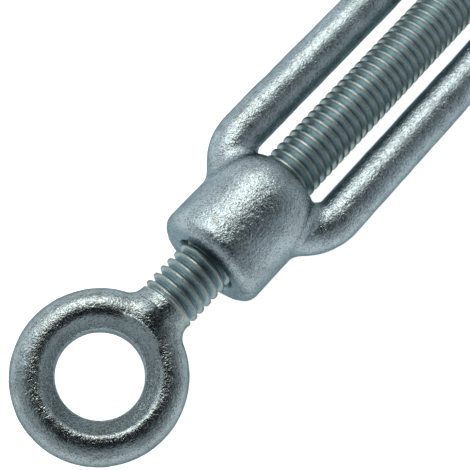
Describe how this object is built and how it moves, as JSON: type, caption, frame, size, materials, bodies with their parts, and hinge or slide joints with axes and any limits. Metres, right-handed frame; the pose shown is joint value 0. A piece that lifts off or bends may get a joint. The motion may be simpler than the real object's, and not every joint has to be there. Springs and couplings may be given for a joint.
{
  "type": "rigging turnbuckle",
  "caption": "Open-body turnbuckle with eye ends: a forged frame draws two threaded eye bolts together or lets them out as it is turned.",
  "frame": {"origin": "middle of the body on the thread axis, halfway between the two eyes at rest", "axes": "+X along the threads towards the right-hand eye bolt, +Y across the two side bars, +Z square to the plane of the bars and eyes"},
  "size_m": [0.1568, 0.0182, 0.0116],
  "materials": {
    "forged_body": "zinc-coated forged steel, slightly pitted satin",
    "eye_bolt": "zinc-coated forged steel with rolled thread",
    "turned_tip": "zinc-coated turned steel"
  },
  "bodies": {
    "body": {"turnbuckle_body": "forged_body"},
    "left_hand_travel": {"left_hand_bolt_tip": "turned_tip"},
    "left_hand_bolt": {"left_hand_eye_bolt": "eye_bolt"},
    "right_hand_travel": {"right_hand_bolt_tip": "turned_tip"},
    "right_hand_bolt": {"right_hand_eye_bolt": "eye_bolt"}
  },
  "joints": [
    {"name": "left_hand_slide", "type": "slide", "parent": "body", "child": "left_hand_travel", "axis": [-1, 0, 0], "range_m": [-0.00455, 0.03405]},
    {"name": "left_hand_screw", "type": "hinge", "parent": "left_hand_travel", "child": "left_hand_bolt", "pos_m": [-0.048, 0, 0], "axis": [1, 0, 0], "range_deg": [-1620, 12240]},
    {"name": "right_hand_slide", "type": "slide", "parent": "body", "child": "right_hand_travel", "axis": [1, 0, 0], "range_m": [-0.00455, 0.03405]},
    {"name": "right_hand_screw", "type": "hinge", "parent": "right_hand_travel", "child": "right_hand_bolt", "pos_m": [0.048, 0, 0], "axis": [1, 0, 0], "range_deg": [-1620, 12240]}
  ],
  "couplings": [
    {"joint": "left_hand_slide", "follows": "left_hand_screw", "m_per_rad": 0.00015915},
    {"joint": "right_hand_slide", "follows": "right_hand_screw", "m_per_rad": 0.00015915}
  ]
}
